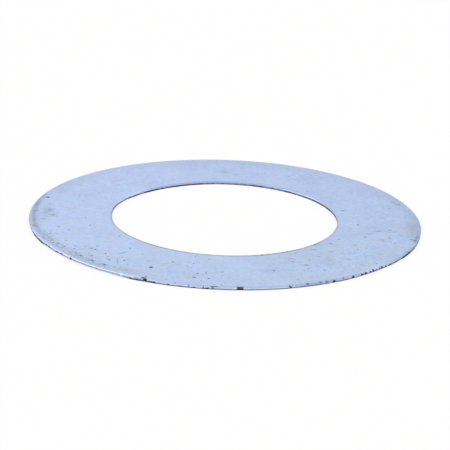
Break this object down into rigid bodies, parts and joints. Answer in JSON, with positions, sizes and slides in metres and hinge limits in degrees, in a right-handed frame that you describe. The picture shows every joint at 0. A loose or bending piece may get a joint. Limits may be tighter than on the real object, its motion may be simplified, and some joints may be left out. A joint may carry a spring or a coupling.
{
  "type": "shim ring",
  "caption": "Thin flat steel shim ring with a wide face, a plain round bore and rolled-over cut edges, for taking up end play on a shaft.",
  "frame": {"origin": "centre of the bore on the back face, which is the face that the ring lies on", "axes": "+Z is the bore's axis, up from the back face to the front face with the rolled-over edges; +X and +Y lie in the back face, and no direction in it is special"},
  "size_m": [0.066, 0.066, 0.0005],
  "materials": {
    "rolled_steel": "satin"
  },
  "bodies": {
    "root": {"shim_ring": "rolled_steel"}
  },
  "joints": []
}
